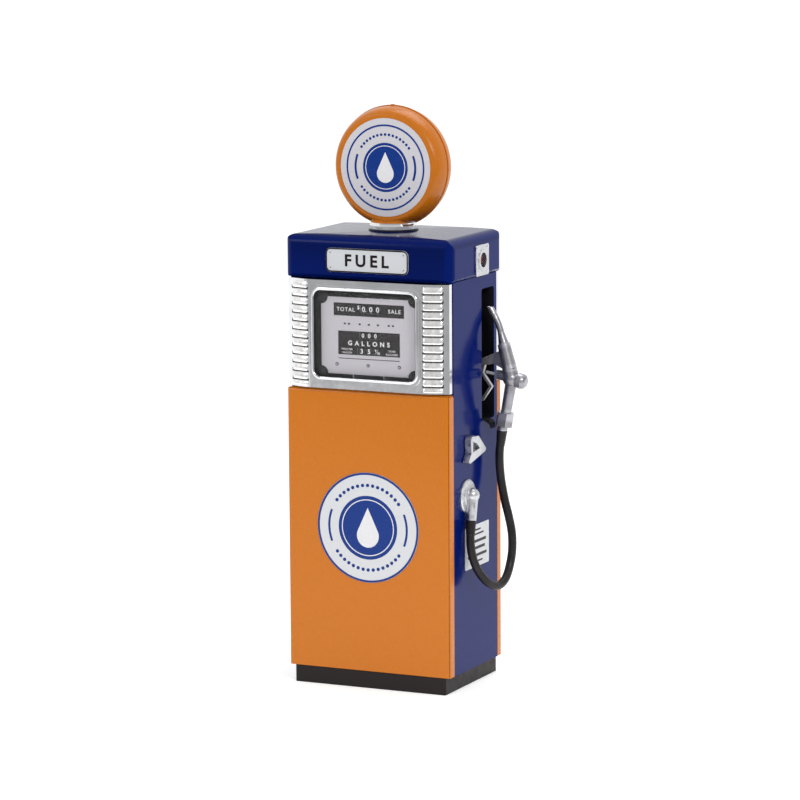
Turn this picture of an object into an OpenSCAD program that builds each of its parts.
// Post-war computing fuel pump: steel cabinet, lit globe, dial on both faces, hose and nozzle.
// Frame: origin at floor level in the middle of the base, front towards -Y, hose side towards +X.

/* [Cabinet] */
// Width across the two doors
door_w = 624; // [622:1:630]
// Half depth of the cabinet, from its centre to a door's face
door_face = 224; // [222:1:228]
// Half width across the side panels
panel_x = 311.5; // [311:0.5:312]
// Half depth of the side panels
panel_y = 184; // [183:0.5:185]
// Height of the base
base_h = 60; // [56:1:64]
// Top of the doors
door_top = 1055; // [1040:1:1056]
// Thickness of the cabinet's steel
skin = 3; // [2:0.5:3]

/* [Cap and globe] */
// Width of the top cap
cap_w = 641; // [636:1:650]
// Depth of the top cap
cap_d = 430; // [424:1:436]
// Underside of the cap
cap_z = 1443; // [1443:1:1445]
// Height of the cap
cap_h = 155; // [150:1:160]
// Height of the globe's centre
globe_z = 1821; // [1815:1:1830]
// Radius of a globe lens
lens_r = 172; // [165:1:176]

/* [Dial] */
// Width of the window in the bezel
window_w = 390; // [384:1:394]
// Underside of the window
window_z0 = 1100; // [1098:1:1104]
// Top of the window
window_z1 = 1404; // [1400:1:1405]
// Number of ribs on each wing of the bezel
rib_count = 13; // [9:1:15]

/* [Hose and nozzle] */
// Outer diameter of the hose
hose_d = 30; // [26:1:34]
// Distance of the nozzle's middle plane behind the cabinet's centre
nozzle_y = 110; // [109:0.5:111]
// Outer diameter of the spout
spout_d = 23; // [20:1:26]

/* [Hidden] */
$fn = 64;

blue = [0.04, 0.08, 0.36];
orange = [0.85, 0.47, 0.12];
chrome = [0.82, 0.83, 0.85];
steel = [0.45, 0.46, 0.48];
black = [0.07, 0.07, 0.08];
white = [0.93, 0.93, 0.93];
run = 0.05;

// Base
plinth_w = 585;
plinth_d = 440;
plinth_r = 8;
pit_w = 400;
pit_d = 250;
anchor_x = 490;
anchor_y = 340;
anchor_r = 9;

// Frame posts and rails, inside the panels
panel_in_x = panel_x - skin;
panel_in_y = panel_y - skin;
post_x = 16;
post_y = 15;
post_t = 4;
rail_h = 15;
frame_top = cap_z - 3;
shelf_z = 560;
register_shelf_z = 1087;
shelf_t = 3;

// Doors and bezels
door_edge = 12;
door_z0 = base_h + 2;
door_back = panel_y + 1.5;
roundel_r = 195;
roundel_z = 574;
roundel_t = 2;
bezel_x = 309;
bezel_z0 = 1060;
bezel_z1 = 1440;
bezel_edge_y = 210;
bezel_face_y = 239;
bezel_t = 7;
bezel_back_y = panel_y + 1;
rim_w = 16;
rim_x = window_w / 2 + rim_w;
rim_face_y = 243;
rim_r = 30;
wing_x = rim_x + 2;
groove_x0 = 222;
groove_x1 = 288;
groove_h = 10;
groove_deep = 4.5;
glass_y = bezel_face_y - bezel_t;
glass_t = 4;

// Dial and its number wheels
housing_x = 205;
housing_y = glass_y - glass_t;
housing_z0 = 1090;
housing_z1 = 1414;
dial_y = 214;
dial_t = 2;
dial_x = 180;
dial_z0 = 1110;
dial_z1 = 1380;
dial_notch = 26;
total_z = 1340;
total_r = 36;
gallon_z = 1248;
gallon_r = 30;
price_z = 1193;
price_x = 4;
price_half = 45;
window_margin = 12;
total_window_h = 26;
gallon_window_h = 22;
price_window_h = 20;
post_inset = 6;
wheel_w = 22;
wheel_gap_y = 2;
shaft_r = 5;
total_x = [-16, 10, 36];
gallon_x = [-21, 3, 27];
total_y = dial_y - dial_t - wheel_gap_y - total_r;
gallon_y = dial_y - dial_t - wheel_gap_y - gallon_r;
frame_plate_x = 56;
frame_plate_t = 4;
gear_x = 100;
gear_y = -60;
drive_r = 6;

// Globe
globe_half = 64;
globe_bulge = 30;
globe_rim = 9;
lens_t = 6;
seam_w = 6;
seam_h = 3;
collar_r = 84;
collar_z0 = cap_z + cap_h + 3;
collar_z1 = 1626;
neck_r = 80;

// Side fittings
slot_y0 = 55;
slot_y1 = 162;
slot_z0 = 930;
slot_z1 = 1396;
slot_r = 12;
boot_x = 250;
boot_t = 2;
switch_y = -62;
switch_z = 862;
switch_r = 8;
outlet_y = -76;
outlet_z = 683;
outlet_r = 60;
outlet_pipe_r = 20;
sight_y = 35;
sight_z = 1501;
sight_w = 108;
sight_r = 34;
sight_t = 5;
sign_z = sight_z + 8;
sign_w = 315;
sign_h = 84;
sign_r = 19;
sign_t = 4;
label_y = 8;
label_z = 495;
label_w = 202;
label_h = 150;

// Pumping set in the lower cabinet
belt_y = -120;
belt_w = 12;
motor_x = -150;
motor_z = 180;
motor_r = 78;
motor_pulley_r = 34;
motor_shaft_r = 9;
pump_x = 95;
pump_z = 235;
pump_r = 92;
pump_pulley_r = 80;
pump_shaft_r = 11;
belt_gap = 0.6;
belt_t = 7;

// Nozzle, in its own upright plane: each point is [x, z]
spout_base = [371.5, 1200];
barrel_end = [394, 1112];
valve_at = [400, 1078];
valve_r = 30;
cap_at = [424, 1073.2];
cap_tip = [457, 1066.6];
boss_start = [395, 1083];
boss_end = [346, 1090];
handle_top = [399, 1060];
handle_end = [380, 957];
hex_end = [371, 908];
lever_pin = [301, 1133];
pin_r = 4;
stem_r = 5;

// Hose, from the outlet down, round and up to the nozzle: each point is [x, y, z]
hose_route = [
  [334, -90, 601], [335, -96, 570], [336, -101, 535], [341, -100, 485], [353, -88, 435],
  [371, -60, 390], [387, -22, 363], [396, 14, 358], [402, 54, 376], [402, 89, 414],
  [404, 106, 466], [401, 111, 527], [388, 113, 587], [372, 114, 646], [357, 114, 728],
  [354, 112, 810], [365, 110, 893]
];
hose_sides = 12;

function unit(v) = v / norm(v);
function along_boss(reach) = boss_start + reach * unit(boss_end - boss_start);
function last(v) = len(v) - 1;

// Shared shapes

module rear() {
  rotate([0, 0, 180])
    children();
}

module rounded(w, h, r) {
  square([w - 2 * r, h], center = true);
  square([w, h - 2 * r], center = true);
  for (x = [-1, 1], y = [-1, 1])
    translate([x * (w / 2 - r), y * (h / 2 - r)])
      circle(r);
}

// A flat outline drawn in X and Z, as a plate from y0 back to y1
module upright(y0, y1) {
  translate([0, y1, 0])
    rotate([90, 0, 0])
      linear_extrude(y1 - y0)
        children();
}

// A flat outline drawn in Y and Z, as a plate from x0 out to x1
module sideways(x0, x1) {
  translate([x0, 0, 0])
    rotate([90, 0, 90])
      linear_extrude(x1 - x0)
        children();
}

module box(low, high) {
  translate(low)
    cube(high - low);
}

// A round bar between two points
module bar(a, b, r1, r2) {
  d = b - a;
  translate(a)
    rotate([0, acos(d.z / norm(d)), atan2(d.y, d.x)])
      cylinder(h = norm(d), r1 = r1, r2 = r2);
}

// A round bar in the nozzle's plane between two [x, z] points
module nozzle_bar(a, b, r1, r2) {
  bar([a.x, nozzle_y, a.y], [b.x, nozzle_y, b.y], r1, r2);
}

// Base and frame

module plinth() {
  color(black)
    difference() {
      linear_extrude(base_h)
        rounded(plinth_w, plinth_d, plinth_r);
      translate([0, 0, -1])
        linear_extrude(base_h + 2)
          rounded(pit_w, pit_d, plinth_r);
      for (x = [-1, 1], y = [-1, 1])
        translate([x * anchor_x / 2, y * anchor_y / 2, -1])
          cylinder(r = anchor_r, h = base_h + 2);
    }
}

module post(sx, sy) {
  x = sx * panel_in_x;
  y = sy * panel_in_y;
  box([min(x, x - sx * post_x), min(y, y - sy * post_t), base_h],
      [max(x, x - sx * post_x), max(y, y - sy * post_t), frame_top]);
  box([min(x, x - sx * post_t), min(y, y - sy * post_y), base_h],
      [max(x, x - sx * post_t), max(y, y - sy * post_y), frame_top]);
}

module frame() {
  inner_x = panel_in_x - post_t;
  inner_y = panel_in_y - post_t;
  color(steel) {
    difference() {
      union() {
        for (sx = [-1, 1], sy = [-1, 1])
          post(sx, sy);
        for (z = [base_h, door_top - 10, frame_top - rail_h], sy = [-1, 1])
          box([-panel_in_x, sy * (inner_y + post_t / 2) - post_t / 2, z],
              [panel_in_x, sy * (inner_y + post_t / 2) + post_t / 2, z + rail_h]);
        for (z = [base_h, shelf_z - rail_h], sx = [-1, 1])
          box([sx * (inner_x + post_t / 2) - post_t / 2, -panel_in_y, z],
              [sx * (inner_x + post_t / 2) + post_t / 2, panel_in_y, z + rail_h]);
        box([-panel_in_x, -panel_in_y, base_h], [panel_in_x, panel_in_y, base_h + shelf_t]);
        box([-panel_in_x, -panel_in_y, shelf_z - shelf_t], [panel_in_x, panel_in_y, shelf_z]);
        box([-panel_in_x, -panel_in_y, register_shelf_z],
            [boot_x - 10, panel_in_y, register_shelf_z + shelf_t]);
      }
      translate([pump_x, 0, base_h - 1])
        cylinder(r = 40, h = shelf_t + 2);
      translate([pump_x, 60, shelf_z - shelf_t - 1])
        cylinder(r = 24, h = shelf_t + 2);
      translate([gear_x, gear_y, register_shelf_z - 1])
        cylinder(r = 3 * drive_r, h = shelf_t + 2);
    }
  }
}

// Side panels, seen from above as a sheet with its two edges folded in

module panel_sheet() {
  fold = 25;
  difference() {
    box([panel_in_x - fold, -panel_y, base_h + 1], [panel_x, panel_y, cap_z]);
    box([panel_in_x - fold - 1, -panel_in_y, base_h], [panel_in_x, panel_in_y, cap_z + 1]);
  }
}

module left_panel() {
  color(blue)
    mirror([1, 0, 0])
      panel_sheet();
}

module slot_outline(extra) {
  translate([(slot_y0 + slot_y1) / 2, (slot_z0 + slot_z1) / 2])
    rounded(slot_y1 - slot_y0 + 2 * extra, slot_z1 - slot_z0 + 2 * extra, slot_r + extra);
}

module right_panel() {
  bearing_r = 15;
  bearing_l = 12;
  color(blue)
    difference() {
      union() {
        panel_sheet();
        translate([panel_in_x - bearing_l, switch_y, switch_z])
          rotate([0, 90, 0])
            cylinder(r = bearing_r, h = bearing_l + 1);
      }
      sideways(panel_in_x - 1, panel_x + 1)
        slot_outline(0);
      translate([panel_in_x - bearing_l - 1, switch_y, switch_z])
        rotate([0, 90, 0])
          cylinder(r = switch_r + run, h = bearing_l + skin + 2);
      translate([panel_in_x - 1, outlet_y, outlet_z])
        rotate([0, 90, 0])
          cylinder(r = outlet_pipe_r + 2, h = skin + 2);
    }
}

// Doors

module door_solid(half_w, face, back, z0, z1, edge) {
  intersection() {
    translate([0, -face + (face - back + 2 * edge) / 2, z0])
      linear_extrude(z1 - z0)
        rounded(2 * half_w, face - back + 2 * edge, edge);
    box([-half_w, -face, z0], [half_w, -back, z1]);
    sideways(-half_w, half_w)
      translate([-face + 50, z1 - 1000])
        rounded(100, 2000, edge);
    upright(-face, -back)
      translate([0, z1 - 1000])
        rounded(2 * half_w, 2000, edge);
  }
}

module door_shell() {
  lip = 12;
  difference() {
    door_solid(door_w / 2, door_face, door_back, door_z0, door_top, door_edge);
    box([-door_w / 2 + skin, -door_face + skin, door_z0 + skin],
        [door_w / 2 - skin, -door_back - skin, door_top - skin]);
    box([-door_w / 2 + lip, -door_back - skin - 1, door_z0 + lip],
        [door_w / 2 - lip, -door_back + 1, door_top - lip]);
  }
}

module front_door() {
  color(orange)
    door_shell();
}

module rear_door() {
  color(orange)
    rear()
      door_shell();
}

module roundel() {
  translate([0, -door_face, roundel_z])
    rotate([90, 0, 0])
      cylinder(r = roundel_r, h = roundel_t, $fn = 128);
}

module front_roundel() {
  color(white)
    roundel();
}

module rear_roundel() {
  color(white)
    rear()
      roundel();
}

// Bezels: a convex wing on each side of the window, cut by level grooves

function wing_y(x, depth) =
  depth - bezel_face_y
  + (bezel_face_y - bezel_edge_y) * pow(max(0, x - wing_x) / (bezel_x - wing_x), 1.6);
function wing_line(x0, x1, depth, steps) =
  [for (i = [0:steps]) let (x = x0 + (x1 - x0) * i / steps) [x, wing_y(x, depth)]];
function flip(points) = [for (i = [last(points):-1:0]) [-points[i].x, points[i].y]];

module bezel_plan(depth, side, back) {
  right = concat(wing_line(wing_x, bezel_x - side, depth, 9), [[bezel_x - side, -back]]);
  polygon(concat(right, flip(right)));
}

module groove(side) {
  line = wing_line(groove_x0, groove_x1, groove_deep, 6);
  front = -bezel_face_y - 5;
  half = concat([[groove_x0, front]], line, [[groove_x1, front]]);
  linear_extrude(groove_h)
    polygon([for (p = half) [side * p.x, p.y]]);
}

module bezel() {
  pitch = (bezel_z1 - bezel_z0 - rib_count * 2) / rib_count;
  first = bezel_z0 + pitch;
  window_h = window_z1 - window_z0;
  window_mid = (window_z0 + window_z1) / 2;
  difference() {
    union() {
      translate([0, 0, bezel_z0])
        linear_extrude(bezel_z1 - bezel_z0)
          bezel_plan(0, 0, bezel_back_y);
      upright(-rim_face_y, -bezel_face_y + 1)
        translate([0, window_mid])
          rounded(2 * rim_x, window_h + 2 * rim_w, rim_r + 4);
    }
    translate([0, 0, bezel_z0 + skin])
      linear_extrude(bezel_z1 - bezel_z0 - 2 * skin)
        bezel_plan(bezel_t, skin, bezel_back_y - 10);
    upright(-rim_face_y - 1, -glass_y + 1)
      translate([0, window_mid])
        rounded(window_w, window_h, rim_r - 4);
    for (i = [0:rib_count - 2], side = [-1, 1])
      translate([0, 0, first + i * (pitch + 26 / rib_count) - groove_h / 2])
        groove(side);
  }
}

module front_bezel() {
  color(chrome)
    bezel();
}

module rear_bezel() {
  color(chrome)
    rear()
      bezel();
}

module window_glass() {
  over = 6;
  upright(-glass_y, -glass_y + glass_t)
    translate([0, (window_z0 + window_z1) / 2])
      square([window_w + 2 * over, window_z1 - window_z0 + 2 * over], center = true);
}

module front_glass() {
  color([0.8, 0.9, 0.95, 0.3])
    window_glass();
}

module rear_glass() {
  color([0.8, 0.9, 0.95, 0.3])
    rear()
      window_glass();
}

// Dial case and computer

module register_housing() {
  color(black)
    difference() {
      box([-housing_x, -housing_y, housing_z0], [housing_x, housing_y, housing_z1]);
      box([-housing_x + skin, -housing_y - 1, housing_z0 + skin],
          [housing_x - skin, housing_y + 1, housing_z1 - skin]);
      translate([gear_x, gear_y, housing_z0 - 1])
        cylinder(r = 2 * drive_r, h = skin + 2);
    }
}

module dial_window(x0, x1, z, h) {
  translate([x0, z - h / 2])
    square([x1 - x0, h]);
}

module dial_plate() {
  upright(-dial_y, -dial_y + dial_t)
    difference() {
      translate([-dial_x, dial_z0])
        square([2 * dial_x, dial_z1 - dial_z0]);
      for (x = [-dial_x, dial_x], z = [dial_z0, dial_z1])
        translate([x, z])
          circle(dial_notch);
      dial_window(total_x[0] - window_margin, total_x[2] + window_margin, total_z, total_window_h);
      dial_window(gallon_x[0] - window_margin, gallon_x[2] + window_margin, gallon_z,
                  gallon_window_h);
      dial_window(price_x - price_half, price_x + price_half, price_z, price_window_h);
    }
}

module front_dial() {
  color([0.7, 0.7, 0.72])
    dial_plate();
}

module rear_dial() {
  color([0.7, 0.7, 0.72])
    rear()
      dial_plate();
}

// A post in each notch of the dial, with a flange that bears on the back of the dial
module corner_posts(back_y) {
  post_r = 13;
  post_h = 8;
  head_r = 8;
  head_h = 3;
  slot_w = 2;
  flange_r = 22;
  flange_t = 3;
  for (x = [-1, 1] * (dial_x - post_inset), z = [dial_z0 + post_inset, dial_z1 - post_inset])
    translate([x, -back_y, z])
      rotate([90, 0, 0]) {
        translate([0, 0, -flange_t])
          cylinder(r = flange_r, h = flange_t);
        cylinder(r = post_r, h = post_h);
        translate([0, 0, post_h])
          difference() {
            cylinder(r = head_r, h = head_h);
            translate([-head_r, -slot_w / 2, head_h / 2])
              cube([2 * head_r, slot_w, head_h]);
          }
      }
}

// The posts, the rods that tie the front ones to the rear ones, and the feet of the lower rods
module dial_posts() {
  back_y = dial_y - dial_t;
  rod_r = 6;
  foot_y = 150;
  foot_d = 20;
  color(black) {
    for (turn = [0, 180])
      rotate([0, 0, turn]) {
        corner_posts(back_y);
        for (x = [-1, 1] * (dial_x - post_inset))
          box([x - rod_r, -foot_y - foot_d, housing_z0 + skin],
              [x + rod_r, -foot_y, dial_z0 + post_inset]);
      }
    for (x = [-1, 1] * (dial_x - post_inset), z = [dial_z0 + post_inset, dial_z1 - post_inset])
      along_y(x, z, -back_y + 1, back_y - 1, rod_r);
  }
}

module row_shaft(y, z) {
  translate([-frame_plate_x - frame_plate_t, -y, z])
    rotate([0, 90, 0])
      cylinder(r = shaft_r, h = 2 * (frame_plate_x + frame_plate_t));
}

module register_frame() {
  plate_y = dial_y - dial_t;
  plate_z1 = dial_z1 - 6;
  tie_y = 60;
  tie_w = 10;
  case_z = 1112;
  case_r = 35;
  case_h = 60;
  shaft_in = 40;
  color(steel)
    difference() {
      union() {
        for (s = [-1, 1])
          box([s * (frame_plate_x + frame_plate_t / 2) - frame_plate_t / 2, -plate_y,
               housing_z0 + skin],
              [s * (frame_plate_x + frame_plate_t / 2) + frame_plate_t / 2, plate_y, plate_z1]);
        for (turn = [0, 180])
          rotate([0, 0, turn]) {
            row_shaft(total_y, total_z);
            row_shaft(gallon_y, gallon_z);
          }
        for (y = [-tie_y, tie_y])
          box([-frame_plate_x, y - tie_w / 2, plate_z1 - 14 - tie_w / 2],
              [frame_plate_x, y + tie_w / 2, plate_z1 - 4]);
        box([frame_plate_x, gear_y - case_r, case_z],
            [gear_x + case_r, gear_y + case_r, case_z + case_h]);
      }
      translate([gear_x, gear_y, case_z - 1])
        cylinder(r = drive_r + run, h = shaft_in + 1);
    }
}

module number_wheel(x, y, z, r) {
  rim = 4;
  hub = 5;
  translate([x - wheel_w / 2, -y, z])
    rotate([0, 90, 0])
      difference() {
        cylinder(r = r, h = wheel_w);
        translate([0, 0, -1])
          cylinder(r = shaft_r + run, h = wheel_w + 2);
        translate([0, 0, rim])
          difference() {
            cylinder(r = r - rim, h = wheel_w);
            cylinder(r = shaft_r + hub, h = wheel_w);
          }
      }
}

module total_wheel(i) {
  color(black)
    number_wheel(total_x[i], total_y, total_z, total_r);
}

module gallon_wheel(i) {
  color(black)
    number_wheel(gallon_x[i], gallon_y, gallon_z, gallon_r);
}

// Three wheels in one, with a groove turned where each pair would meet
module wheel_stack(xs, y, z, r) {
  groove_w = 2;
  groove_d = 5;
  color(black)
    rear()
      difference() {
        translate([xs[0] - wheel_w / 2, -y, z])
          rotate([0, 90, 0])
            cylinder(r = r, h = xs[2] - xs[0] + wheel_w);
        translate([xs[0] - wheel_w, -y, z])
          rotate([0, 90, 0])
            cylinder(r = shaft_r + run, h = xs[2] - xs[0] + 2 * wheel_w);
        for (x = [(xs[0] + xs[1]) / 2, (xs[1] + xs[2]) / 2])
          translate([x - groove_w / 2, -y, z])
            rotate([0, 90, 0])
              difference() {
                cylinder(r = r + 1, h = groove_w);
                cylinder(r = r - groove_d, h = groove_w);
              }
      }
}

module price_card() {
  half_h = 14;
  card_t = 3;
  box([-frame_plate_x, -dial_y + dial_t, price_z - half_h],
      [frame_plate_x, -dial_y + dial_t + card_t, price_z + half_h]);
}

module price_cards() {
  color(black) {
    price_card();
    rear()
      price_card();
  }
}

module drive_shaft() {
  low = 745;
  high = 1150;
  collar_low = 800;
  collar_h = 24;
  color(steel) {
    translate([gear_x, gear_y, low])
      cylinder(r = drive_r, h = high - low);
    translate([gear_x, gear_y, collar_low])
      cylinder(r = drive_r + 8, h = collar_h);
  }
}

// Cap, signs and globe

// A low crown: height lost at a distance x from the middle
function crown_drop(x) = 7 * pow(abs(x) / 320, 2);
function fillet_line(x, z, r, steps) =
  [for (i = [0:steps]) let (a = 90 * i / steps) [x + r * cos(a), z + r * sin(a)]];

module cap_outline(w, h, r) {
  bevel = 12;
  edge = w / 2 - r;
  crown = [for (i = [4:-1:-4]) let (x = edge * i / 5) [x, h - crown_drop(x)]];
  top_z = h - crown_drop(edge) - r;
  right = concat([[w / 2 - bevel, 0], [w / 2, bevel]], fillet_line(edge, top_z, r, 8));
  polygon(concat(right, crown, flip(right)));
}

module cap() {
  wall = 4;
  corner = 31;
  fillet = 36;
  mouth = 24;
  seat_r = collar_r + 5;
  color(blue)
    difference() {
      union() {
        intersection() {
          translate([0, 0, cap_z])
            linear_extrude(cap_h)
              rounded(cap_w, cap_d, corner);
          translate([0, 0, cap_z])
            upright(-cap_d / 2, cap_d / 2)
              cap_outline(cap_w, cap_h, fillet);
          translate([0, 0, cap_z])
            sideways(-cap_w / 2, cap_w / 2)
              cap_outline(cap_d, cap_h, fillet);
        }
        translate([0, 0, cap_z + cap_h - 10])
          cylinder(r = seat_r, h = 11);
      }
      translate([0, 0, cap_z - 1])
        linear_extrude(cap_h - wall - 8)
          rounded(cap_w - 2 * wall - mouth, cap_d - 2 * wall - mouth, corner - wall);
      translate([0, 0, cap_z + mouth / 2])
        linear_extrude(cap_h - mouth / 2 - fillet)
          rounded(cap_w - 2 * wall, cap_d - 2 * wall, corner - wall);
      translate([0, 0, cap_z])
        cylinder(r = 16, h = cap_h + 2);
      translate([cap_w / 2 - 30, sight_y, sight_z])
        rotate([0, 90, 0])
          cylinder(r = sight_r, h = 40);
    }
}

module sign_plate() {
  border = 8;
  face_y = cap_d / 2 + sign_t;
  translate([0, 0, sign_z])
    difference() {
      upright(-face_y, -cap_d / 2)
        rounded(sign_w, sign_h, sign_r);
      upright(-face_y - 1, 1 - face_y)
        rounded(sign_w - 2 * border, sign_h - 2 * border, sign_r - border);
    }
}

module front_sign() {
  color(white)
    sign_plate();
}

module rear_sign() {
  color(white)
    rear()
      sign_plate();
}

module screw_head(r, h) {
  difference() {
    cylinder(r = r, h = h);
    translate([-r, -r / 8, h / 2])
      cube([2 * r, r / 4, h]);
  }
}

// The heads of the screws that hold the signs, the sight plate, the dials and the label
module trim_screws() {
  sign_x = sign_w / 2 - 17.5;
  sign_rise = sign_h / 2 - 16;
  sight_pitch = 43;
  label_y_pitch = 86.8;
  label_z_pitch = 64;
  dial_row_z = dial_z0 + 34;
  color(chrome) {
    for (turn = [0, 180], x = [-sign_x, sign_x], z = [-sign_rise, sign_rise])
      rotate([0, 0, turn])
        translate([x, -cap_d / 2 - sign_t + 1, sign_z + z])
          rotate([90, 0, 0])
            screw_head(3, 1.5);
    for (y = [-sight_pitch, sight_pitch], z = [-sight_pitch, sight_pitch])
      translate([cap_w / 2 + sight_t, sight_y + y, sight_z + z])
        rotate([0, 90, 0])
          screw_head(5, 2.5);
    for (turn = [0, 180], x = [-120, 0, 120])
      rotate([0, 0, turn])
        translate([x, -dial_y, dial_row_z])
          rotate([90, 0, 0])
            screw_head(3.5, 2);
    for (y = [-label_y_pitch, label_y_pitch], z = [-label_z_pitch, label_z_pitch])
      translate([panel_x + 1.5, label_y + y, label_z + z])
        rotate([0, 90, 0])
          screw_head(3, 1.5);
  }
}

function globe_curve(r0, bulge, half, steps) =
  [for (i = [0:steps]) let (a = -90 + 180 * i / steps) [r0 + bulge * cos(a), half * sin(a)]];

module globe_ring() {
  outer_r = lens_r + globe_rim;
  seat = lens_r + 0.3;
  seat_y = globe_half - lens_t;
  lip = lens_r - 8;
  rotate([90, 0, 0])
    rotate_extrude($fn = 128)
      difference() {
        union() {
          polygon(concat(globe_curve(outer_r, globe_bulge, globe_half, 24),
                         [[seat, globe_half], [seat, seat_y], [lip, seat_y],
                          [lip, -seat_y], [seat, -seat_y], [seat, -globe_half]]));
          translate([outer_r + globe_bulge - 4, -seam_w / 2])
            square([4 + seam_h, seam_w]);
        }
        polygon(concat(globe_curve(outer_r - 2, globe_bulge - 2, seat_y - 2, 24),
                       [[lip - 2, seat_y - 2], [lip - 2, 2 - seat_y]]));
      }
}

module globe_body() {
  outer_r = lens_r + globe_rim + globe_bulge;
  lug_r = 7;
  lug_h = 9;
  neck_h = 30;
  color(orange)
    difference() {
      union() {
        translate([0, 0, globe_z])
          globe_ring();
        translate([0, 0, globe_z + outer_r - 4])
          cylinder(r = lug_r, h = lug_h);
        intersection() {
          translate([0, 0, collar_z1])
            cylinder(r = neck_r, h = neck_h);
          box([-neck_r, -globe_half + 3, collar_z1], [neck_r, globe_half - 3, collar_z1 + neck_h]);
          translate([0, globe_half, globe_z])
            rotate([90, 0, 0])
              difference() {
                cylinder(r = outer_r + 20, h = 2 * globe_half);
                cylinder(r = lens_r + 5, h = 2 * globe_half);
              }
        }
      }
      box([-outer_r, -outer_r, cap_z], [outer_r, outer_r, collar_z1]);
      translate([0, 0, collar_z1 - 1])
        cylinder(r = neck_r - 28, h = neck_h + 20);
    }
}

module globe_lens() {
  translate([0, -globe_half + lens_t, globe_z])
    rotate([90, 0, 0])
      cylinder(r = lens_r, h = lens_t, $fn = 128);
}

module front_lens() {
  color(white)
    globe_lens();
}

module rear_lens() {
  color(white)
    rear()
      globe_lens();
}

module globe_collar() {
  inner_r = collar_r - 13;
  lip = 4;
  high = collar_z1 - collar_z0;
  color(chrome)
    translate([0, 0, collar_z0])
      rotate_extrude($fn = 128)
        polygon([[inner_r, 0], [collar_r - 2, 0], [collar_r, 3], [collar_r, 15],
                 [collar_r - lip, high - lip], [collar_r - lip, high],
                 [inner_r - 2 * lip, high], [inner_r - 2 * lip, high - lip],
                 [inner_r, high - lip]]);
}

module collar_gasket() {
  color(black)
    translate([0, 0, cap_z + cap_h + 1])
      difference() {
        cylinder(r = collar_r + 3, h = 2);
        translate([0, 0, -1])
          cylinder(r = collar_r - 15, h = 4);
      }
}

module lamp_socket() {
  outer = 24;
  bore = 16;
  high = 50;
  floor_h = 20;
  color(white)
    translate([0, 0, cap_z + cap_h + 1])
      difference() {
        cylinder(r = outer, h = high);
        translate([0, 0, floor_h])
          cylinder(r = bore, h = high);
      }
}

module lamp_bulb() {
  base_z = cap_z + cap_h + 21;
  base_r = 13;
  base_h = 34;
  bulb_r = 36;
  bulb_z = 92;
  color(white)
    translate([0, 0, base_z])
      rotate_extrude()
        polygon(concat([[0, 0], [base_r, 0], [base_r, base_h], [bulb_r / 2, base_h + 16]],
                       [for (a = [-30:15:90]) [bulb_r * cos(a), bulb_z + bulb_r * sin(a)]]));
}

// Sight glass on the cap's side

module sight_plate() {
  sight_corner = 8;
  boss_h = 9;
  color(chrome)
    difference() {
      union() {
        sideways(cap_w / 2, cap_w / 2 + sight_t)
          translate([sight_y, sight_z])
            rounded(sight_w, sight_w, sight_corner);
        translate([cap_w / 2, sight_y, sight_z])
          rotate([0, 90, 0])
            cylinder(r = sight_r + 2, h = boss_h);
      }
      translate([cap_w / 2 - 1, sight_y, sight_z])
        rotate([0, 90, 0])
          cylinder(r = sight_r - 8, h = 12);
      translate([cap_w / 2 - 1, sight_y, sight_z])
        rotate([0, 90, 0])
          cylinder(r = sight_r - 3, h = 7);
    }
}

module sight_glass() {
  color([0.8, 0.9, 0.95, 0.4])
    translate([cap_w / 2 + 1, sight_y, sight_z])
      rotate([0, 90, 0])
        cylinder(r = sight_r - 3, h = sight_t);
}

module sight_spinner() {
  hub_r = 5;
  hub_h = 14;
  vane_r = sight_r - 12;
  vane_w = 10;
  vane_t = 2;
  pin = 2;
  hub_x0 = cap_w / 2 - 16;
  color([0.85, 0.15, 0.1])
    difference() {
      union() {
        translate([hub_x0, sight_y, sight_z])
          rotate([0, 90, 0])
            cylinder(r = hub_r, h = hub_h);
        for (turn = [0:60:300])
          translate([hub_x0 + 2, sight_y, sight_z])
            rotate([turn, 0, 0])
              translate([0, -vane_t / 2, 0])
                cube([vane_w, vane_t, vane_r]);
      }
      translate([hub_x0 - 1, sight_y, sight_z])
        rotate([0, 90, 0])
          cylinder(r = pin + run, h = hub_h + 2);
    }
}

// Pumping set

module along_y(x, z, y0, y1, r) {
  translate([x, y1, z])
    rotate([90, 0, 0])
      cylinder(r = r, h = y1 - y0);
}

module motor() {
  front = -80;
  back = 100;
  nose = 8;
  nose_r = 30;
  foot_x = 70;
  foot_y0 = -60;
  foot_y1 = 80;
  foot_t = 10;
  web_x = 40;
  box_x = 35;
  box_y0 = -20;
  box_y1 = 60;
  box_low = 40;
  box_high = 105;
  foot_z = base_h + shelf_t;
  color(steel)
    difference() {
      union() {
        along_y(motor_x, motor_z, front, back, motor_r);
        along_y(motor_x, motor_z, front - nose, front, nose_r);
        box([motor_x - foot_x, foot_y0, foot_z], [motor_x + foot_x, foot_y1, foot_z + foot_t]);
        box([motor_x - web_x, foot_y0, foot_z], [motor_x + web_x, foot_y1, motor_z]);
        box([motor_x - box_x, box_y0, motor_z + box_low],
            [motor_x + box_x, box_y1, motor_z + box_high]);
      }
      along_y(motor_x, motor_z, front - nose - 1, front + 40, motor_shaft_r + run);
    }
}

module grooved_pulley(x, z, r) {
  wide = 20;
  flange = 3;
  rise = 6;
  taper = 0.5;
  translate([x, belt_y + wide / 2, z])
    rotate([90, 0, 0])
      rotate_extrude()
        polygon([[0, 0], [r + rise, 0], [r + rise, flange], [r, flange + taper],
                 [r, wide - flange - taper], [r + rise, wide - flange], [r + rise, wide],
                 [0, wide]]);
}

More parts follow.
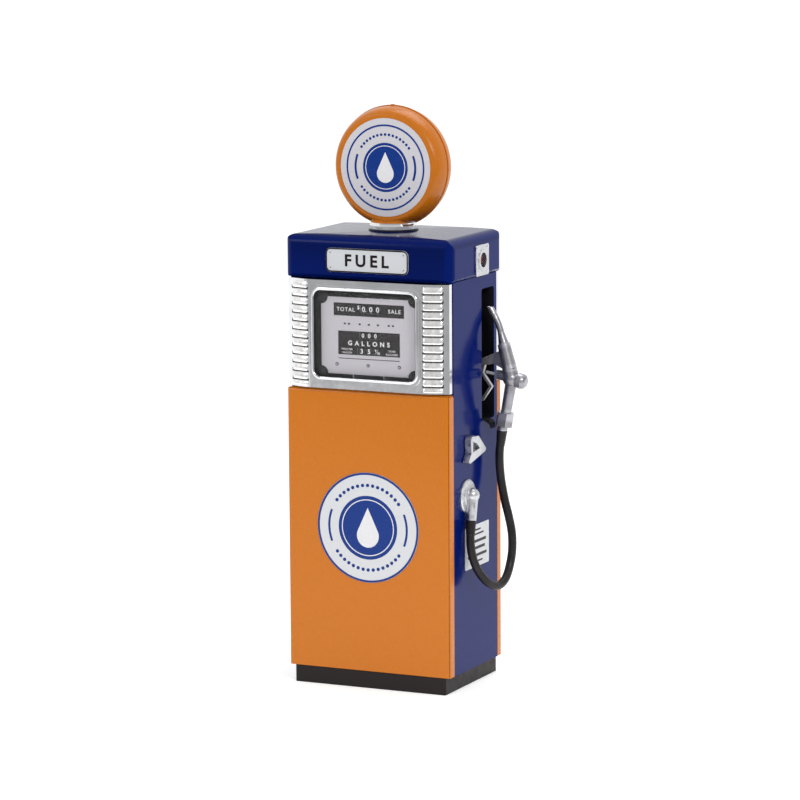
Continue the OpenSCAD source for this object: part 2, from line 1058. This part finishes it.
module motor_pulley() {
  color(steel) {
    grooved_pulley(motor_x, motor_z, motor_pulley_r);
    along_y(motor_x, motor_z, belt_y - 16, -45, motor_shaft_r);
  }
}

module pump() {
  front = -70;
  back = 60;
  foot_z = base_h + shelf_t;
  color([0.3, 0.33, 0.36])
    difference() {
      union() {
        along_y(pump_x, pump_z, front, back, pump_r);
        along_y(pump_x, pump_z, front - 12, front, 34);
        along_y(pump_x, pump_z, back, back + 12, 60);
        box([pump_x - 90, -55, foot_z], [pump_x + 90, 55, foot_z + 12]);
        box([pump_x - 45, -55, foot_z], [pump_x + 45, 55, pump_z]);
        translate([pump_x, 0, pump_z])
          cylinder(r = 34, h = pump_r + 30);
      }
      along_y(pump_x, pump_z, front - 13, front + 40, pump_shaft_r + run);
    }
}

module pump_pulley() {
  color(steel) {
    grooved_pulley(pump_x, pump_z, pump_pulley_r);
    along_y(pump_x, pump_z, belt_y - 16, -35, pump_shaft_r);
  }
}

module belt_loop(extra) {
  hull() {
    translate([motor_x, motor_z])
      circle(motor_pulley_r + extra, $fn = 96);
    translate([pump_x, pump_z])
      circle(pump_pulley_r + extra, $fn = 96);
  }
}

module drive_belt() {
  color(black)
    upright(belt_y - belt_w / 2, belt_y + belt_w / 2)
      difference() {
        belt_loop(belt_gap + belt_t);
        belt_loop(belt_gap);
      }
}

module meter() {
  color([0.35, 0.4, 0.45])
    difference() {
      translate([gear_x, gear_y, shelf_z]) {
        cylinder(r = 70, h = 12);
        cylinder(r = 50, h = 30);
        translate([0, 0, 20])
          cylinder(r = 82, h = 14);
        translate([0, 0, 30])
          cylinder(r = 76, h = 120);
        translate([0, 0, 146])
          cylinder(r = 82, h = 14);
        cylinder(r = 24, h = 210);
      }
      translate([gear_x, gear_y, shelf_z + 170])
        cylinder(r = drive_r + run, h = 50);
    }
}

module pipes() {
  pipe_r = 17;
  suction_z = 4;
  top_z = pump_z + pump_r + 30;
  riser_x = 284;
  riser_y = 35;
  color([0.55, 0.5, 0.42])
    difference() {
      union() {
        translate([pump_x, 0, suction_z])
          cylinder(r = 24, h = base_h + shelf_t - suction_z);
        translate([pump_x, 0, top_z])
          cylinder(r = pipe_r, h = 60);
        bar([pump_x, 0, top_z + 50], [pump_x, 60, top_z + 50], pipe_r, pipe_r);
        translate([pump_x, 60, top_z + 50 - pipe_r])
          cylinder(r = pipe_r, h = 270);
        bar([pump_x, 60, 640], [gear_x, gear_y + 70, 640], pipe_r, pipe_r);
        bar([gear_x + 70, outlet_y, outlet_z], [panel_x, outlet_y, outlet_z],
            outlet_pipe_r, outlet_pipe_r);
        bar([riser_x, outlet_y, outlet_z], [riser_x, riser_y, outlet_z], 9, 9);
        translate([riser_x, riser_y, outlet_z - 9])
          cylinder(r = 9, h = sight_z - outlet_z - 20);
        bar([riser_x, riser_y, sight_z], [cap_w / 2 - 17, riser_y, sight_z], 28, 28);
        translate([riser_x, riser_y, sight_z - 40])
          cylinder(r = 9, h = 40);
        bar([cap_w / 2 - 18, riser_y, sight_z], [cap_w / 2 - 3, riser_y, sight_z], 2, 2);
      }
      translate([pump_x, 0, suction_z - 1])
        cylinder(r = 18, h = 40);
    }
}

// Hose outlet and hose

module hose_outlet() {
  end = hose_route[0];
  elbow = [331, outlet_y + 3, outlet_z + 5];
  elbow_r = 26;
  arm_r = 22;
  root_r = 30;
  root_x = panel_x + 10;
  color(chrome) {
    translate([panel_x, outlet_y, outlet_z])
      rotate([0, 90, 0])
        rotate_extrude()
          polygon([[0, 0], [outlet_r, 0], [outlet_r, 5], [outlet_r - 4, 9], [40, 11],
                   [34, 14], [0, 14]]);
    difference() {
      union() {
        translate(elbow)
          sphere(r = elbow_r);
        bar([root_x, elbow.y, elbow.z], elbow, root_r, arm_r);
        bar(elbow, end, arm_r, hose_d / 2 + 3);
      }
      box([panel_x - elbow_r, elbow.y - outlet_r, elbow.z - outlet_r],
          [panel_x + 4, elbow.y + outlet_r, elbow.z + outlet_r]);
    }
  }
}

function hose_tangent(i) =
  unit(hose_route[min(i + 1, last(hose_route))] - hose_route[max(i - 1, 0)]);
function hose_ring(i) =
  let (t = hose_tangent(i), side = unit(cross(t, [1, 0, 0])), up = cross(side, t))
  [for (k = [0:hose_sides - 1])
    let (a = 360 * k / hose_sides)
    hose_route[i] + hose_d / 2 * (cos(a) * side + sin(a) * up)];

module hose() {
  rings = len(hose_route);
  points = [for (i = [0:rings - 1]) each hose_ring(i)];
  walls = [for (i = [0:rings - 2], k = [0:hose_sides - 1])
    let (next = (k + 1) % hose_sides, a = i * hose_sides, b = a + hose_sides)
    [a + k, a + next, b + next, b + k]];
  start = [for (k = [hose_sides - 1:-1:0]) k];
  finish = [for (k = [0:hose_sides - 1]) (rings - 1) * hose_sides + k];
  color(black)
    polyhedron(points, concat([start], walls, [finish]), convexity = 6);
}

// Nozzle boot: the pan behind the slot, with the tongue that the nozzle hangs on

module nozzle_boot() {
  tongue_y0 = 64;
  tongue_y1 = 100;
  lip = 0.4;
  color([0.3, 0.3, 0.32]) {
    difference() {
      sideways(boot_x, panel_in_x)
        slot_outline(boot_t);
      sideways(boot_x + boot_t, panel_in_x + 1)
        slot_outline(0);
    }
    upright(tongue_y0, tongue_y1)
      polygon([[boot_x + boot_t - 1, slot_z0 + 4], [boot_x + boot_t - 1, slot_z0 - 1],
               [panel_in_x - lip, slot_z0 - 1], [panel_in_x - lip, slot_z0 + lip],
               [panel_x + lip, slot_z0 + lip], [panel_x + 6, slot_z0 - 1],
               [336, slot_z0 - 12], [340, slot_z0 - 26],
               [344, slot_z0 - 26], [342, slot_z0 - 8], [334, slot_z0 + 2],
               [panel_x + 4, slot_z0 + 5]]);
  }
}

// Switch lever

module switch_lever() {
  depth = 24;
  web = 7;
  x0 = panel_x + 3;
  color(chrome) {
    translate([panel_in_x - 9, switch_y, switch_z])
      rotate([0, 90, 0])
        cylinder(r = switch_r, h = 13);
    translate([panel_x + 0.5, switch_y, switch_z])
      rotate([0, 90, 0])
        cylinder(r = 14, h = 4);
    difference() {
      sideways(x0, x0 + depth)
        polygon([[-90, 896], [-32, 892], [28, 842], [30, 836], [24, 830], [-106, 804],
                 [-114, 808], [-114, 816], [-94, 838], [-98, 884]]);
      sideways(x0 + web, x0 + depth + 1)
        polygon([[-80, 878], [-50, 868], [-22, 847], [-82, 840]]);
    }
  }
}

module label_plate() {
  color(white)
    sideways(panel_x, panel_x + 1.5)
      translate([label_y, label_z])
        rounded(label_w, label_h, 6);
}

// Nozzle

module nozzle_body() {
  guard_t = 4;
  guard_gap = 8;
  stem_bore = 14;
  color(chrome)
    difference() {
      union() {
        nozzle_bar(spout_base, barrel_end, 22, 26);
        nozzle_bar(barrel_end, valve_at, 26, 28);
        translate([valve_at.x, nozzle_y, valve_at.y])
          sphere(r = valve_r);
        nozzle_bar(boss_start, boss_end, 19, 17);
        nozzle_bar(valve_at, cap_at, 24, 22);
        nozzle_bar(handle_top, handle_end, 20, 18);
        for (y = [nozzle_y - guard_gap - guard_t, nozzle_y + guard_gap])
          upright(y, y + guard_t)
            polygon([[364, 1176], [342, 1167], [290, 1144], [285, 1136], [286, 1127], [296, 1121],
                     [318, 1124], [340, 1128], [372, 1112]]);
        translate([lever_pin.x, nozzle_y - guard_gap - 1, lever_pin.y])
          rotate([-90, 0, 0])
            cylinder(r = pin_r, h = 2 * guard_gap + 2);
      }
      nozzle_bar(along_boss(stem_bore), along_boss(56), stem_r + run, stem_r + run);
    }
}

// The bent stretch of the spout, as a slice of a ring about the bend's own centre
module spout_bend(centre_r, r, turn) {
  reach = centre_r + 2 * r;
  rotate([90, 0, 0])
    intersection() {
      rotate_extrude($fn = 96)
        translate([centre_r, 0])
          circle(r);
      translate([0, 0, -2 * r])
        linear_extrude(4 * r)
          polygon([[0, 0], [reach, 0], reach * 1.05 * [cos(turn / 2), sin(turn / 2)],
                   reach * [cos(turn), sin(turn)]]);
    }
}

module nozzle_spout() {
  rise = spout_base - barrel_end;
  lean = atan2(-rise.x, rise.y);
  outer = spout_d / 2;
  root_r = 18;
  weld_h = 4;
  weld_rise = 0.5;
  straight = 40;
  bend_r = 210;
  bend = 15;
  tip = 50;
  cut = 28;
  color([0.75, 0.76, 0.78])
    translate([spout_base.x, nozzle_y, spout_base.y])
      rotate([0, -lean, 0])
        difference() {
          union() {
            cylinder(r = root_r, h = 4);
            cylinder(r1 = root_r, r2 = outer, h = straight);
            translate([0, 0, straight - weld_h / 2])
              cylinder(r = outer + weld_rise, h = weld_h);
            translate([-bend_r, 0, straight]) {
              spout_bend(bend_r, outer, bend);
              rotate([0, -bend, 0])
                translate([bend_r, 0, 0]) {
                  cylinder(r = outer, h = tip);
                  translate([0, 0, -weld_h / 2])
                    cylinder(r = outer + weld_rise, h = weld_h);
                }
            }
          }
          translate([-bend_r, 0, straight])
            rotate([0, -bend, 0]) {
              translate([bend_r, 0, 5])
                cylinder(r = outer - 2, h = tip);
              translate([bend_r - outer, -spout_d, tip])
                rotate([0, cut, 0])
                  cube([3 * outer, 2 * spout_d, spout_d]);
            }
        }
}

// The normals of a bent strip at each of its points, long enough to keep its width at the kinks
function strip_normal(path, i) =
  let (a = unit(path[max(i, 1)] - path[max(i, 1) - 1]),
       b = unit(path[min(i + 1, last(path))] - path[min(i, last(path) - 1)]),
       n = unit([-a.y, a.x] + [-b.y, b.x]))
  n / (n * [-a.y, a.x]);

module strip(path, half) {
  left = [for (i = [0:last(path)]) path[i] + half * strip_normal(path, i)];
  right = [for (i = [last(path):-1:0]) path[i] - half * strip_normal(path, i)];
  polygon(concat(left, right));
}

module nozzle_lever() {
  half = 4.5;
  lever_y = 7.5;
  color(chrome)
    difference() {
      union() {
        upright(nozzle_y - lever_y, nozzle_y + lever_y)
          strip([[299.5, 1127.4], [290, 1092], [324, 1046], [290, 996]], half);
        along_y(lever_pin.x, lever_pin.y, nozzle_y - lever_y, nozzle_y + lever_y, 9);
      }
      along_y(lever_pin.x, lever_pin.y, nozzle_y - 10, nozzle_y + 10, pin_r + run);
    }
}

module valve_stem() {
  color(steel)
    nozzle_bar(along_boss(26), along_boss(91), stem_r, stem_r);
}

// Screwed cap, hollowed underneath so that it clears the round end of the valve chamber
module valve_cap() {
  reach = norm(cap_tip - cap_at);
  clear = 0.3;
  color(chrome)
    difference() {
      translate([cap_at.x, nozzle_y, cap_at.y])
        rotate([0, acos((cap_tip.y - cap_at.y) / reach), 0])
          rotate_extrude()
            polygon([[0, 0], [24, 0], [27, 3], [27, 20], [24, 27], [16, reach], [0, reach]]);
      translate([valve_at.x, nozzle_y, valve_at.y])
        sphere(r = valve_r + clear);
    }
}

module hex_coupling() {
  gap = 0.2;
  end = hose_route[last(hose_route)];
  up = hose_tangent(last(hose_route));
  hex_r = 31;
  d = handle_end - hex_end;
  lean = atan2(d.x, d.y);
  color(chrome) {
    translate([hex_end.x, nozzle_y, hex_end.y])
      rotate([0, lean, 0])
        cylinder(r = hex_r, h = norm(d), $fn = 6);
    bar(end + gap * up, end + 24 * up, hose_d / 2 + 3, hose_d / 2 + 4);
  }
}

plinth();
frame();
left_panel();
right_panel();
front_door();
rear_door();
front_roundel();
rear_roundel();
front_bezel();
rear_bezel();
front_glass();
rear_glass();
register_housing();
front_dial();
rear_dial();
dial_posts();
register_frame();
total_wheel(0);  // front_total_wheel_1
total_wheel(1);  // front_total_wheel_2
total_wheel(2);  // front_total_wheel_3
gallon_wheel(0);  // front_gallon_wheel_1
gallon_wheel(1);  // front_gallon_wheel_2
gallon_wheel(2);  // front_gallon_wheel_3
wheel_stack(total_x, total_y, total_z, total_r);  // rear_total_wheels
wheel_stack(gallon_x, gallon_y, gallon_z, gallon_r);  // rear_gallon_wheels
price_cards();
drive_shaft();
cap();
front_sign();
rear_sign();
trim_screws();
globe_body();
front_lens();
rear_lens();
globe_collar();
collar_gasket();
lamp_socket();
lamp_bulb();
sight_plate();
sight_glass();
sight_spinner();
motor();
motor_pulley();
pump();
pump_pulley();
drive_belt();
meter();
pipes();
hose_outlet();
hose();
nozzle_boot();
switch_lever();
label_plate();
nozzle_body();
nozzle_spout();
nozzle_lever();
valve_stem();
valve_cap();
hex_coupling();
